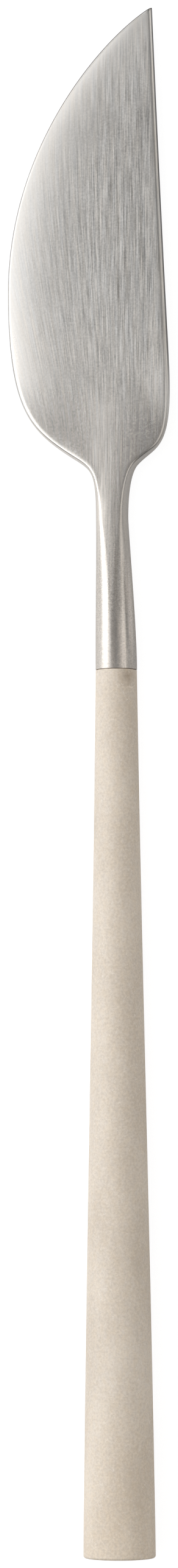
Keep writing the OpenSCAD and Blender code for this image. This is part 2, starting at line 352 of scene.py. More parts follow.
def half_thickness(x, ring):
    """Half thickness of the head at each x of the ring."""
    v = ring.v
    from_left, from_right = edge_distances(x, ring)
    fan = np.clip((v - NECK_L) / FAN_L, 0, 1)
    off = np.abs(x - (ring.left + ring.right) / 2) / (NECK_W / 2)
    flank = 1 - smooth((off - mix(*RIDGE_TOP_SHARES, fan)) / mix(*RIDGE_FLANK_SHARES, fan))
    ridge = mix(1, flank, smooth((v - NECK_L) / (FAN_L * FAN_START_SHARE)))
    crown = NECK_CROWN * smooth(v / NECK_L) * (1 - smooth(fan / CROWN_FADE_SHARE)) * off * off * ridge
    cambers = cambers_at(ring, from_left, from_right) * (1 - ridge * (1 - smooth(fan)))
    rim_w, rim_drop = rim_at(v)
    rims = camber(from_left, rim_w, rim_drop, RIM_POWER) + camber(from_right, rim_w, rim_drop, RIM_POWER)
    height = mix(core_at(v), ridge_at(v), ridge) - cambers - crown - rims
    belly_edge, spine_edge = edges_at(v)
    ends = rounded(from_left, belly_edge) * rounded(from_right, spine_edge)
    return height * ends * rounded(HEAD_L - v + TIP_FLAT, TIP_ROUND)


def places_across(ring):
    """The x of the ring's points, close together over each edge and its bevel."""
    belly_edge, spine_edge = edges_at(ring.v)
    rim_w, _ = rim_at(ring.v)
    limit = EDGE_ZONE_SHARE * (ring.right - ring.left)
    zone_left = min(max(belly_edge, rim_w) / ring.lean_left, limit)
    zone_right = min(max(spine_edge, rim_w) / ring.lean_right, limit)
    turn = np.pi / 2 * np.arange(EDGE_STEPS) / EDGE_STEPS
    face = np.linspace(ring.left + zone_left, ring.right - zone_right, FACE_STEPS + 1)
    over_left = ring.left + zone_left * (1 - np.cos(turn))
    over_right = ring.right - zone_right * (1 - np.cos(turn[::-1]))
    return np.concatenate([over_left, face, over_right])


def upper_half(ring):
    """x and z of the upper half of the ring."""
    x = places_across(ring)
    z = half_thickness(x, ring)
    z[0] = z[-1] = 0
    return x, z


def closed_ring(x, z):
    """Upper half and its mirror image as one closed ring."""
    return np.concatenate([x, x[-2:0:-1]]), np.concatenate([z, -z[-2:0:-1]])


def head_stations():
    """Places of the rings along the head, closer where the form turns quickly."""
    heel = NECK_L + HEEL_RINGS_SHARE * BLADE_L
    ends = HEAD_L - TIP_ROUND
    point = TIP_ROUND * (1 - np.sin(np.pi / 2 * np.linspace(0, 1, POINT_RINGS)))
    return np.concatenate([
        np.linspace(0, NECK_L, NECK_RINGS, endpoint=False),
        np.linspace(NECK_L, heel, HEEL_RINGS, endpoint=False),
        np.linspace(heel, ends, FACE_RINGS, endpoint=False),
        HEAD_L - point,
    ])


def tang_stations():
    """Radius and place, from the end of the tang to the joint."""
    rows = [(TANG_R - TANG_CHAMFER, 0), (TANG_R, TANG_CHAMFER)]
    for k in range(GROOVE_N):
        low = GROOVE_FIRST + k * GROOVE_PITCH
        rows += [(TANG_R, low), (TANG_R - GROOVE_DEPTH, low)]
        rows += [(TANG_R - GROOVE_DEPTH, low + GROOVE_W), (TANG_R, low + GROOVE_W)]
    return rows + [(TANG_R, TANG_L)]


def arc_from_middle(x, z):
    """Signed distance along a ring's surface from the knife's middle line."""
    step = np.hypot(np.diff(x), np.diff(z))
    run = np.concatenate([[0], np.cumsum(step)])
    on_face = min(max(0.0, x[0] + FACE_MARGIN), (x[0] + x[-1]) / 2)
    return run - np.interp(on_face, x, run) + on_face


def brush_across(arc, v):
    """The brushing lines run straight along the spine's side and draw together on the belly's."""
    pinch = mix(BRUSH_PINCH, 1, smooth((v - NECK_L) / BRUSH_FAN_L))
    return np.where(arc < 0, arc / pinch, arc)


def head_rings():
    """Rings of points, of brushing coordinates and of edge distances, from tang to point."""
    rings, brush, edge = [], [], []
    joint = outline_at(0.0)
    joint_x, joint_z = closed_ring(*upper_half(joint))
    for r, y in tang_stations():
        x, z = joint_x * r / STEEL_JOINT_R, joint_z * r / STEEL_JOINT_R
        rings.append(np.stack([x, np.full_like(x, HANDLE_L - TANG_L + y), z], -1))
        brush.append(np.stack([x, np.full_like(x, y - TANG_L)], -1))
        edge.append(np.stack(edge_distances(joint_x, joint), -1))
    for v in head_stations():
        ring = outline_at(v)
        top_x, top_z = upper_half(ring)
        arc, _ = closed_ring(arc_from_middle(top_x, top_z), top_z)
        x, z = closed_ring(top_x, top_z)
        rings.append(np.stack([x, np.full_like(x, HANDLE_L + v), z], -1))
        brush.append(np.stack([brush_across(arc, v), np.full_like(x, v)], -1))
        edge.append(np.stack(edge_distances(x, ring), -1))
    return rings, {"brush": brush, "edge": edge}


def handle_r(y):
    share = (HANDLE_L - y) / (HANDLE_L - BUTT_ROUND)
    return mix(JOINT_R, BUTT_R, cubic(HANDLE_TAPER_SHARES, share))


def handle_profile():
    """Radius and place from the middle of the butt, over the outside, and back down the bore."""
    rows = [(AXIS_R, 0.0), (BUTT_R / 2, 0.0)]
    for a in np.radians(np.linspace(0, 90, BUTT_RINGS, endpoint=False)):
        rows.append((BUTT_R - BUTT_ROUND + BUTT_ROUND * math.sin(a), BUTT_ROUND * (1 - math.cos(a))))
    for y in np.linspace(BUTT_ROUND, HANDLE_L - JOINT_CHAMFER_L, HANDLE_RINGS):
        rows.append((handle_r(y), y))
    rows += [(JOINT_R - JOINT_CHAMFER, HANDLE_L), (BORE_R, HANDLE_L)]
    rows += [(BORE_R, HANDLE_L - BORE_L), (AXIS_R, HANDLE_L - BORE_L)]
    return rows


def handle_rings():
    """Rings of points, and of places round and along the handle."""
    turn = np.linspace(-np.pi, np.pi, TURN_STEPS, endpoint=False)
    rings, brush = [], []
    for r, y in handle_profile():
        rings.append(np.stack([r * np.sin(turn), np.full_like(turn, y), r * np.cos(turn)], -1))
        brush.append(np.stack([r * turn, np.full_like(turn, y)], -1))
    return rings, {"brush": brush}


def rest_matrix():
    """From the knife's own axes in millimetres to the row's frame in metres."""
    axis = Vector(BUTT_MOUNT["axis"])
    pitch = math.atan2(axis.z, -axis.y)
    turn = Matrix.Rotation(-pitch, 4, "X") @ Matrix.Rotation(-REST_ROLL, 4, "Y")
    return Matrix.Translation(BUTT_MOUNT["pos_m"]) @ turn @ Matrix.Scale(MM, 4)


def lie_down(points):
    m = np.array(rest_matrix())
    return points @ m[:3, :3].T + m[:3, 3]


def add_layer(mesh, name, maps):
    """Writes the maps, one pair of numbers to a point, as a UV layer."""
    flat = np.concatenate(maps)
    layer = mesh.uv_layers.new(name=name)
    corners = np.zeros(len(mesh.loops), np.int32)
    mesh.loops.foreach_get("vertex_index", corners)
    layer.data.foreach_set("uv", flat[corners].astype(np.float32).ravel())


def skin(name, rings, layers):
    """Object over a row of equal rings, closed at both ends, with its UV layers."""
    n = len(rings[0])
    points = lie_down(np.concatenate(rings))
    faces = []
    for k in range(len(rings) - 1):
        a, b = k * n, (k + 1) * n
        faces += [(a + i, b + i, b + (i + 1) % n, a + (i + 1) % n) for i in range(n)]
    last = (len(rings) - 1) * n
    faces += [tuple(range(n)), tuple(last + i for i in reversed(range(n)))]
    mesh = bpy.data.meshes.new(name)
    mesh.from_pydata(points.tolist(), [], faces)
    mesh.validate()
    for layer, maps in layers.items():
        add_layer(mesh, layer, maps)
    mesh.shade_smooth()
    mesh.set_sharp_from_angle(angle=math.radians(SHARP_ANGLE))
    obj = bpy.data.objects.new(name, mesh)
    bpy.context.scene.collection.objects.link(obj)
    return obj


def new_material(name):
    material = bpy.data.materials.new(name)
    material.use_nodes = True
    material.node_tree.nodes.clear()
    return material, material.node_tree


def input_of(node, key):
    """The input that a key names: n3 is the fourth one, and Base_Color is Base Color."""
    if key[0] == "n" and key[1:].isdigit():
        return node.inputs[int(key[1:])]
    return node.inputs[key.replace("_", " ")]


def add(tree, kind, settings=None, **inputs):
    """Adds a node. Inputs are numbers, colours or the output sockets that feed them."""
    node = tree.nodes.new(kind)
    for key, value in (settings or {}).items():
        setattr(node, key, value)
    for key, value in inputs.items():
        socket = input_of(node, key)
        if isinstance(value, bpy.types.NodeSocket):
            tree.links.new(value, socket)
        else:
            socket.default_value = value
    return node


def stretched(tree, source, scale):
    """The vectors multiplied by scale."""
    return add(tree, "ShaderNodeVectorMath", {"operation": "MULTIPLY"}, n0=source, n1=scale).outputs[0]


NOISE_MIDDLE = 0.5


def noise(tree, source, waves, detail=2.0, roughness=0.5):
    """Noise from 0 to 1, with so many waves to the source's unit."""
    node = add(tree, "ShaderNodeTexNoise", None, Vector=stretched(tree, source, waves), Scale=1.0,
               Detail=detail, Roughness=roughness)
    return node.outputs["Fac"]


def ripple(tree, source, waves, detail=2.0, roughness=0.6):
    """Noise that swings evenly about zero."""
    return weigh(tree, noise(tree, source, waves, detail, roughness), -NOISE_MIDDLE, 1.0)


def spread(tree, value, low, high, to_low, to_high):
    """The value, brought from one range to another and kept inside it."""
    node = add(tree, "ShaderNodeMapRange", None, Value=value, From_Min=low, From_Max=high,
               To_Min=to_low, To_Max=to_high)
    return node.outputs["Result"]


def rise(tree, value, start, end):
    """0 where the value is at the start, and 1 where it is at the end."""
    return spread(tree, value, start, end, 0.0, 1.0)


def window(tree, value, places):
    """1 between the two middle places, fading out to the outer two."""
    outer_low, low, high, outer_high = places
    return product(tree, rise(tree, value, outer_high, high), rise(tree, value, outer_low, low))


def weigh(tree, a, b, share):
    """a plus b times share."""
    node = add(tree, "ShaderNodeMath", {"operation": "MULTIPLY_ADD"}, n0=b, n1=share, n2=a)
    return node.outputs[0]


def product(tree, a, b):
    return add(tree, "ShaderNodeMath", {"operation": "MULTIPLY"}, n0=a, n1=b).outputs[0]


def distance_to(tree, value, place):
    """How far the value is from a place."""
    off = weigh(tree, value, -place, 1.0)
    return add(tree, "ShaderNodeMath", {"operation": "ABSOLUTE"}, n0=off).outputs[0]


def blend(tree, share, first, second):
    return add(tree, "ShaderNodeMix", {"data_type": "FLOAT"}, n0=share, n2=first, n3=second).outputs[0]


def colour_between(tree, fac, first, second):
    node = add(tree, "ShaderNodeMix", {"data_type": "RGBA"}, n0=fac, n6=(*first, 1), n7=(*second, 1))
    return node.outputs[2]


def tinted(tree, colour, fac, first, second):
    """The colour times a tint that runs from the first to the second."""
    tint = colour_between(tree, fac, first, second)
    settings = {"data_type": "RGBA", "blend_type": "MULTIPLY"}
    return add(tree, "ShaderNodeMix", settings, n0=1.0, n6=colour, n7=tint).outputs[2]


def finish_surface(tree, colour, rough, height, bump_strength, bump_depth, **more):
    """The material's shader and output. Its bump follows the height."""
    bump = add(tree, "ShaderNodeBump", None, Strength=bump_strength, Distance=bump_depth,
               Height=height)
    shader = add(tree, "ShaderNodeBsdfPrincipled", None, Base_Color=colour, Roughness=rough,
                 Normal=bump.outputs[0], **more)
    add(tree, "ShaderNodeOutputMaterial", None, Surface=shader.outputs[0])


# In the steel's values below, places are millimetres along the head from the joint, and widths and
# insides are millimetres in from an outline. A pair of places is where a change begins and where it
# is complete. Four places are a window: it opens over the first two and closes over the last two.

# Colours, and how far the tone swings about their middle
STEEL_DARK = (0.31, 0.298, 0.281)
STEEL_LIGHT = (0.84, 0.812, 0.774)
STEEL_WARM = (1.0, 0.982, 0.958)
STEEL_COOL = (0.972, 0.984, 1.0)
PLAIN_TINT = (1.0, 1.0, 1.0)
STEEL_SWING = 0.26
TINT_SWING = 0.15

# Layers of brushing, in waves per millimetre across and along the knife
FINE_WAVES = (7.0, 0.22, 1.0)
HAIR_WAVES = (3.4, 0.07, 1.0)
STREAK_WAVES = (1.8, 0.025, 1.0)
CROSS_WAVES = (2.5, 8.0, 1.0)
TINT_WAVES = (2.2, 0.12, 1.0)
TINT_DETAIL = 3.0
# Grain, in waves per metre
GRAIN_WAVES = (3600.0, 3600.0, 3600.0)
GRAIN_ROUGHNESS = 0.75
# How strongly each layer shows
HAIR_SHARE = 0.55
STREAK_SHARE = 0.33
GRAIN_SHARE = 0.42
# Below these places the neck is sanded across, with so much grain in the sanding
SANDED_PLACES = (24.0, 4.0)
SANDED_SHARE = 0.35
# How much of the lines, the grain and the felt lines is left there
SANDED_LINES = 0.35
SANDED_GRAIN = 0.55
SANDED_FELT = 0.55
# The shoulders lie beside the ridge: how far from its middle they begin
SHOULDER_PLACES = (20.0, 25.0, 29.0, 41.0)
SHOULDER_MIDDLE = -3.2
SHOULDER_ASIDE = (1.5, 5.0)
# How strong the lines, the streaks and the grain are on the shoulders, where 1 is as elsewhere
SHOULDER_LINES = 0.2
SHOULDER_STREAKS = 0.35
SHOULDER_GRAIN = 2.2
BELLY_SHOULDER_GRAIN = 1.25
# The lines and the grain grow stronger in from the belly's edge: insides, and what is left at it
CALM_INSIDE = (1.0, 12.0)
CALM_INSIDE_AT_POINT = (0.2, 4.5)
CALM_LINES = 0.12
CALM_GRAIN_INSIDE = (0.5, 9.0)
CALM_GRAIN = 0.25
# Below these places the belly's edge no longer calms them, and the grain is this strong
EVEN_PLACES = (41.0, 29.0)
NECK_GRAIN = 0.5
# Over both rims the lines and the grain nearly stop
RIM_CALM_W = 1.1
RIM_CALM = 0.15

# Where across the head the belly's side begins
BELLY_SIDE = (0.0, -1.0)
# The ridge and the belly's shoulder are lighter than the spine's shoulder: painted highlights where the
# steel mirrors more light
RIDGE_PLACES = (15.0, 20.0, 26.0, 32.0)
RIDGE_PAINTED_HIGHLIGHT = 0.08
BELLY_SHOULDER_PAINTED_HIGHLIGHT = 0.065
# A painted highlight above the ridge: how far from its middle it ends
CREST_PLACES = (28.0, 34.0, 36.0, 40.0)
CREST_MIDDLE = -4.5
CREST_ASIDE = (3.0, 6.5)
CREST_PAINTED_HIGHLIGHT = 0.075
# A painted highlight beside the spine's corner
CORNER_PLACES = (33.0, 36.0, 39.0, 44.0)
CORNER_INSIDE = (3.4, 1.6)
CORNER_PAINTED_HIGHLIGHT = 0.16
# Painted light: the blade's lower part is a little lighter than its upper part
UPPER_PLACES = (46.0, 72.0)
UPPER_PAINTED_TONES = (0.05, -0.01)
# At the point a painted highlight makes it lighter again
POINT_PLACES = (74.0, 86.0)
POINT_PAINTED_HIGHLIGHT = 0.11

# Towards the joint the steel is a little warmer
WARMER_PLACES = (48.0, 10.0)
WARMER_TINT = (1.0, 0.962, 0.925)
# A painted dark reflection on the belly's rim at the point
DARK_RIM_REFLECTION_PLACES = (68.0, 84.0)
DARK_RIM_REFLECTION_INSIDE = (0.5, 0.0)
DARK_RIM_REFLECTION_TINT = (0.14, 0.135, 0.13)
# Painted reflections along the spine's edge: a dark line, a light glint and then a dim band inside it
SPINE_REFLECTION_PLACES = (36.0, 44.0)
SPINE_DARK_REFLECTION_INSIDE = (0.13, 0.05)
SPINE_DARK_REFLECTION_TINT = (0.4, 0.4, 0.41)
SPINE_PAINTED_GLINT_INSIDE = (0.08, 0.13, 0.2, 0.26)
SPINE_PAINTED_GLINT_TINT = (1.45, 1.43, 1.4)
SPINE_DIM_REFLECTION_INSIDE = (0.2, 0.28, 0.55, 0.9)
SPINE_DIM_REFLECTION_TINT = (0.84, 0.84, 0.84)
# A painted grey reflection line along the belly's edge, from above the heel to where the dark rim begins
BELLY_REFLECTION_PLACES = (33.0, 42.0, 64.0, 72.0)
BELLY_REFLECTION_INSIDE = (0.24, 0.13)
BELLY_REFLECTION_TINT = (0.76, 0.77, 0.79)
# Painted reflections down the spine's side of the neck: a fine dark line, with a paler strip beside it
NECK_REFLECTION_PLACES = (2.0, 5.0, 11.0, 16.0)
NECK_DARK_REFLECTION_INSIDE = (0.56, 0.7, 0.76, 0.9)
NECK_DARK_REFLECTION_TINT = (0.68, 0.68, 0.68)
NECK_PALE_REFLECTION_INSIDE = (0.06, 0.2, 0.46, 0.56)
NECK_PALE_REFLECTION_TINT = (1.24, 1.22, 1.22)
# Painted reflections close to the joint: a band on that side is paler and the one beside it is darker
JOINT_REFLECTION_PLACES = (9.0, 5.0)
PALE_REFLECTION_INSIDE = (0.85, 1.0, 1.55, 1.8)
PALE_REFLECTION_TINT = (1.3, 1.28, 1.27)
DIM_REFLECTION_INSIDE = (1.75, 2.0, 2.6, 3.0)
DIM_REFLECTION_TINT = (0.84, 0.84, 0.84)

# Roughness of the parts of the head, and how much the lines change it
BLADE_ROUGHNESS = 0.3
SHOULDER_ROUGHNESS = 0.24
BELLY_SHOULDER_ROUGHNESS = 0.23
NECK_ROUGHNESS = 0.25
LINES_ROUGHEN = 0.08
# The belly's rim has a roughness of its own round the heel
RIM_PLACES = (22.0, 26.0, 44.0, 50.0)
RIM_INSIDE = (1.3, 0.9)
RIM_ROUGHNESS = 0.26
# The steel is duller close to the joint
DULLER_PLACES = (9.0, 0.0)
DULLER_BY = 0.09
STEEL_ANISOTROPY = 0.8
LINES_BUMP = 0.5
LINES_BUMP_DEPTH = 0.00001


def steel_places(tree):
    """Where a point of the head is, and how far it belongs to each part of the head, from 0 to 1."""
    at = SimpleNamespace(uv=add(tree, "ShaderNodeUVMap", {"uv_map": "brush"}).outputs[0])
    at.across, at.along, _ = add(tree, "ShaderNodeSeparateXYZ", None, Vector=at.uv).outputs
    edge = add(tree, "ShaderNodeUVMap", {"uv_map": "edge"}).outputs[0]
    at.from_belly, at.from_spine, _ = add(tree, "ShaderNodeSeparateXYZ", None, Vector=edge).outputs
    at.neck = rise(tree, at.along, *SANDED_PLACES)
    at.point = rise(tree, at.along, *POINT_PLACES)
    aside = rise(tree, distance_to(tree, at.across, SHOULDER_MIDDLE), *SHOULDER_ASIDE)
    at.shoulder = product(tree, window(tree, at.along, SHOULDER_PLACES), aside)
    at.belly_shoulder = product(tree, at.shoulder, rise(tree, at.across, *BELLY_SIDE))
    at.ridge = product(tree, window(tree, at.along, RIDGE_PLACES), weigh(tree, 1.0, aside, -1.0))
    over_ridge = spread(tree, distance_to(tree, at.across, CREST_MIDDLE), *CREST_ASIDE, 1.0, 0.0)
    at.crest = product(tree, window(tree, at.along, CREST_PLACES), over_ridge)
    beside_spine = rise(tree, at.from_spine, *CORNER_INSIDE)
    at.corner = product(tree, window(tree, at.along, CORNER_PLACES), beside_spine)
    return at


def scaled(tree, value, share, factor):
    """The value, times the factor where the share is 1."""
    return product(tree, value, blend(tree, share, 1.0, factor))


def steel_lines(tree, at, grain):
    """All the lines in the steel, and the fine ones alone."""
    sanded = blend(tree, SANDED_SHARE, ripple(tree, at.uv, CROSS_WAVES), grain)
    fine = blend(tree, at.neck, ripple(tree, at.uv, FINE_WAVES), sanded)
    hairs = blend(tree, at.neck, ripple(tree, at.uv, HAIR_WAVES), sanded)
    lines = scaled(tree, weigh(tree, fine, hairs, HAIR_SHARE), at.neck, SANDED_LINES)
    lines = scaled(tree, lines, at.shoulder, SHOULDER_LINES)
    streaks = scaled(tree, ripple(tree, at.uv, STREAK_WAVES), at.shoulder, SHOULDER_STREAKS)
    return weigh(tree, lines, streaks, STREAK_SHARE), fine


def steel_calm(tree, at):
    """How strongly the lines and the grain show at each place."""
    even = rise(tree, at.along, *EVEN_PLACES)
    rims = product(tree, spread(tree, at.from_belly, 0.0, RIM_CALM_W, RIM_CALM, 1.0),
                   spread(tree, at.from_spine, 0.0, RIM_CALM_W, RIM_CALM, 1.0))
    rims = blend(tree, at.neck, rims, 1.0)
    lines = blend(tree, at.point, spread(tree, at.from_belly, *CALM_INSIDE, CALM_LINES, 1.0),
                  spread(tree, at.from_belly, *CALM_INSIDE_AT_POINT, CALM_LINES, 1.0))
    lines = product(tree, blend(tree, even, lines, 1.0), rims)
    grain = spread(tree, at.from_belly, *CALM_GRAIN_INSIDE, CALM_GRAIN, 1.0)
    grain = blend(tree, even, grain, NECK_GRAIN)
    grain = blend(tree, at.neck, grain, SANDED_GRAIN)
    grain = scaled(tree, grain, at.shoulder, SHOULDER_GRAIN)
    grain = scaled(tree, grain, at.belly_shoulder, BELLY_SHOULDER_GRAIN)
    return lines, product(tree, grain, rims)


def steel_tone(tree, at):
    """How light the steel is at each place, about zero, with painted highlights in it, and the lines
    that can be felt.
    """
    place = add(tree, "ShaderNodeTexCoord").outputs["Object"]
    grain = ripple(tree, place, GRAIN_WAVES, roughness=GRAIN_ROUGHNESS)
    lines, fine = steel_lines(tree, at, grain)
    calm_lines, calm_grain = steel_calm(tree, at)
    tone = weigh(tree, product(tree, lines, calm_lines), product(tree, grain, calm_grain), GRAIN_SHARE)
    # Painted light: the blade's lower part is made a little lighter than its upper part
    tone = weigh(tree, tone, spread(tree, at.along, *UPPER_PLACES, *UPPER_PAINTED_TONES), 1.0)
    # Painted highlights: lighter tone on the ridge, the belly's shoulder, the point, the crest and
    # beside the spine's corner
    painted_highlights = (
        (at.ridge, RIDGE_PAINTED_HIGHLIGHT),
        (at.belly_shoulder, BELLY_SHOULDER_PAINTED_HIGHLIGHT),
        (at.point, POINT_PAINTED_HIGHLIGHT),
        (at.crest, CREST_PAINTED_HIGHLIGHT),
        (at.corner, CORNER_PAINTED_HIGHLIGHT),
    )
    for part, painted_highlight in painted_highlights:
        tone = weigh(tree, tone, part, painted_highlight)
    felt = scaled(tree, scaled(tree, fine, at.shoulder, SHOULDER_LINES), at.neck, SANDED_FELT)
    return tone, product(tree, felt, calm_lines)


def painted_edge_reflections(tree, colour, at):
    """Painted reflections: the fine light and dark lines that follow the head's edges."""
    blade = rise(tree, at.along, *SPINE_REFLECTION_PLACES)
    belly = window(tree, at.along, BELLY_REFLECTION_PLACES)
    neck = window(tree, at.along, NECK_REFLECTION_PLACES)
    joint = rise(tree, at.along, *JOINT_REFLECTION_PLACES)
    # Each row paints a light or dark reflection along an edge of the head
    lines = (
        (rise(tree, at.from_spine, *SPINE_DARK_REFLECTION_INSIDE), blade, SPINE_DARK_REFLECTION_TINT),
        (window(tree, at.from_spine, SPINE_PAINTED_GLINT_INSIDE), blade, SPINE_PAINTED_GLINT_TINT),
        (window(tree, at.from_spine, SPINE_DIM_REFLECTION_INSIDE), blade, SPINE_DIM_REFLECTION_TINT),
        (rise(tree, at.from_belly, *BELLY_REFLECTION_INSIDE), belly, BELLY_REFLECTION_TINT),
        (window(tree, at.from_spine, NECK_DARK_REFLECTION_INSIDE), neck, NECK_DARK_REFLECTION_TINT),
        (window(tree, at.from_spine, NECK_PALE_REFLECTION_INSIDE), neck, NECK_PALE_REFLECTION_TINT),
        (window(tree, at.from_spine, PALE_REFLECTION_INSIDE), joint, PALE_REFLECTION_TINT),
        (window(tree, at.from_spine, DIM_REFLECTION_INSIDE), joint, DIM_REFLECTION_TINT),
    )
    for line, reach, tint in lines:
        colour = tinted(tree, colour, product(tree, line, reach), PLAIN_TINT, tint)
    return colour


def steel_colour(tree, at, tone):
    colour = colour_between(tree, rise(tree, tone, -STEEL_SWING, STEEL_SWING), STEEL_DARK, STEEL_LIGHT)
    hue = ripple(tree, at.uv, TINT_WAVES, TINT_DETAIL)
    colour = tinted(tree, colour, rise(tree, hue, -TINT_SWING, TINT_SWING), STEEL_WARM, STEEL_COOL)
    colour = tinted(tree, colour, rise(tree, at.along, *WARMER_PLACES), PLAIN_TINT, WARMER_TINT)
    # Painted dark reflection on the belly's rim at the point
    dark_rim_reflection = product(tree, rise(tree, at.from_belly, *DARK_RIM_REFLECTION_INSIDE),
                       rise(tree, at.along, *DARK_RIM_REFLECTION_PLACES))
    colour = tinted(tree, colour, dark_rim_reflection, PLAIN_TINT, DARK_RIM_REFLECTION_TINT)
    return painted_edge_reflections(tree, colour, at)


def steel_roughness(tree, at, felt):
    level = blend(tree, at.shoulder, BLADE_ROUGHNESS, SHOULDER_ROUGHNESS)
    level = blend(tree, at.belly_shoulder, level, BELLY_SHOULDER_ROUGHNESS)
    level = blend(tree, at.neck, level, NECK_ROUGHNESS)
    rim = product(tree, window(tree, at.along, RIM_PLACES), rise(tree, at.from_belly, *RIM_INSIDE))
    level = blend(tree, rim, level, RIM_ROUGHNESS)
    level = weigh(tree, level, spread(tree, at.along, *DULLER_PLACES, 0.0, DULLER_BY), 1.0)
    return weigh(tree, level, felt, LINES_ROUGHEN)


def steel_material():
    """Fine lines along the blade, fanning out from the neck, and sanding across the neck, with painted
    highlights and painted reflections along the edges.
    """
    material, tree = new_material("brushed_steel")
    at = steel_places(tree)
    tone, felt = steel_tone(tree, at)
    tangent = add(tree, "ShaderNodeTangent", {"direction_type": "UV_MAP", "uv_map": "brush"})
    finish_surface(tree, steel_colour(tree, at, tone), steel_roughness(tree, at, felt), felt,
                   LINES_BUMP, LINES_BUMP_DEPTH, Metallic=1.0, Anisotropic=STEEL_ANISOTROPY,
                   Tangent=tangent.outputs[0])
    return material


# Resin: its colours, its layers in waves per metre, and the range of their sum
RESIN_DARK = (0.67, 0.575, 0.47)
RESIN_LIGHT = (0.83, 0.735, 0.625)
RESIN_WARM = (1.0, 0.985, 0.955)
RESIN_COOL = (0.985, 0.99, 1.0)
PATCH_WAVES = (190.0, 70.0, 190.0)
PATCH_DETAIL = 4.0
RESIN_GRAIN_WAVES = (3200.0, 3200.0, 3200.0)
RESIN_GRAIN_DETAIL = 3.0
RESIN_GRAIN_SHARE = 1.25
RESIN_TONES = (0.85, 1.4)
RESIN_TINT_WAVES = (1500.0, 900.0, 1500.0)
RESIN_TINTS = (0.35, 0.65)
# Roughness of the fine noises in resin and adhesive, and the values they mostly keep to
FINE_ROUGHNESS = 0.6
FINE_RANGE = (0.3, 0.7)
RESIN_ROUGHNESS = (0.55, 0.7)
RESIN_BUMP = 0.25
RESIN_BUMP_DEPTH = 0.00002
# Fibres follow the middle value of a noise, this far to both sides, where a second noise is high
FIBRE_WAVES = (2200.0, 1400.0, 2200.0)
FIBRE_HALF = 0.03
FIBRE_PLACE_WAVES = (1300.0, 1300.0, 1300.0)
FIBRE_PLACES = (0.56, 0.64)
FIBRE_COLOUR = (0.93, 0.86, 0.77)
FIBRE_SHARE = 0.55
# The butt is a little warmer, over this length along the handle
BUTT_TINT = (1.03, 1.01, 0.975)
BUTT_TINT_L = 24.0
# A small darker brown patch and a nick under the joint: places round the handle and along it, and half
# sizes
DARK_PATCH_AT = (2.35, 118.2)
DARK_PATCH_HALF = (1.9, 1.9)
DARK_PATCH_TINT = (0.66, 0.61, 0.55)
NICK_AT = (2.75, 116.65)
NICK_HALF = (0.7, 0.18)
NICK_TINT = (1.32, 1.36, 1.42)


def fibres(tree, place):
    """1 on short, thin, curved fibres: broken up lines of equal value of a noise."""
    off = distance_to(tree, noise(tree, place, FIBRE_WAVES), NOISE_MIDDLE)
    thin = spread(tree, off, 0.0, FIBRE_HALF, 1.0, 0.0)
    here = rise(tree, noise(tree, place, FIBRE_PLACE_WAVES), *FIBRE_PLACES)
    return product(tree, thin, here)


def spot(tree, around, along, middle, half):
    """1 in the middle of a spot on the handle, fading out round it."""
    near_around = spread(tree, distance_to(tree, around, middle[0]), 0.0, half[0], 1.0, 0.0)
    near_along = spread(tree, distance_to(tree, along, middle[1]), 0.0, half[1], 1.0, 0.0)
    return product(tree, near_around, near_along)


def resin_material():
    """Ivory resin with cloudy mottling, fine grain and a few light fibres."""
    material, tree = new_material("ivory_resin")
    place = add(tree, "ShaderNodeTexCoord").outputs["Object"]
    uv = add(tree, "ShaderNodeUVMap", {"uv_map": "brush"}).outputs[0]
    around, along, _ = add(tree, "ShaderNodeSeparateXYZ", None, Vector=uv).outputs
    grain = noise(tree, place, RESIN_GRAIN_WAVES, RESIN_GRAIN_DETAIL, FINE_ROUGHNESS)
    tone = weigh(tree, noise(tree, place, PATCH_WAVES, PATCH_DETAIL), grain, RESIN_GRAIN_SHARE)
    colour = colour_between(tree, rise(tree, tone, *RESIN_TONES), RESIN_DARK, RESIN_LIGHT)
    hue = noise(tree, place, RESIN_TINT_WAVES, roughness=FINE_ROUGHNESS)
    colour = tinted(tree, colour, rise(tree, hue, *RESIN_TINTS), RESIN_WARM, RESIN_COOL)
    colour = tinted(tree, colour, rise(tree, along, 0.0, BUTT_TINT_L), BUTT_TINT, PLAIN_TINT)
    # A darker brown patch just under the joint, on the spine's side
    dark_patch = spot(tree, around, along, DARK_PATCH_AT, DARK_PATCH_HALF)
    colour = tinted(tree, colour, dark_patch, PLAIN_TINT, DARK_PATCH_TINT)
    nick = spot(tree, around, along, NICK_AT, NICK_HALF)
    colour = tinted(tree, colour, nick, PLAIN_TINT, NICK_TINT)
    thread = product(tree, fibres(tree, place), FIBRE_SHARE)
    light = add(tree, "ShaderNodeMix", {"data_type": "RGBA"}, n0=thread, n6=colour,
                n7=(*FIBRE_COLOUR, 1))
    rough = spread(tree, grain, *FINE_RANGE, *RESIN_ROUGHNESS)
    finish_surface(tree, light.outputs[2], rough, grain, RESIN_BUMP, RESIN_BUMP_DEPTH)
    return material


# Adhesive: its colours, its clouds in waves per metre, and its surface
ADHESIVE_DARK = (0.62, 0.52, 0.28)
ADHESIVE_LIGHT = (0.8, 0.72, 0.46)
CLOUD_WAVES = (700.0, 300.0, 700.0)
CLOUD_DETAIL = 4.0
ADHESIVE_ROUGHNESS = (0.35, 0.55)
ADHESIVE_BUMP = 0.3
ADHESIVE_BUMP_DEPTH = 0.00003


def adhesive_material():
    """Cloudy cured adhesive, out of sight inside the handle."""
    material, tree = new_material("cured_adhesive")
    place = add(tree, "ShaderNodeTexCoord").outputs["Object"]
    clouds = noise(tree, place, CLOUD_WAVES, CLOUD_DETAIL, FINE_ROUGHNESS)
    colour = colour_between(tree, clouds, ADHESIVE_DARK, ADHESIVE_LIGHT)
    rough = spread(tree, clouds, *FINE_RANGE, *ADHESIVE_ROUGHNESS)
    finish_surface(tree, colour, rough, clouds, ADHESIVE_BUMP, ADHESIVE_BUMP_DEPTH)
    return material


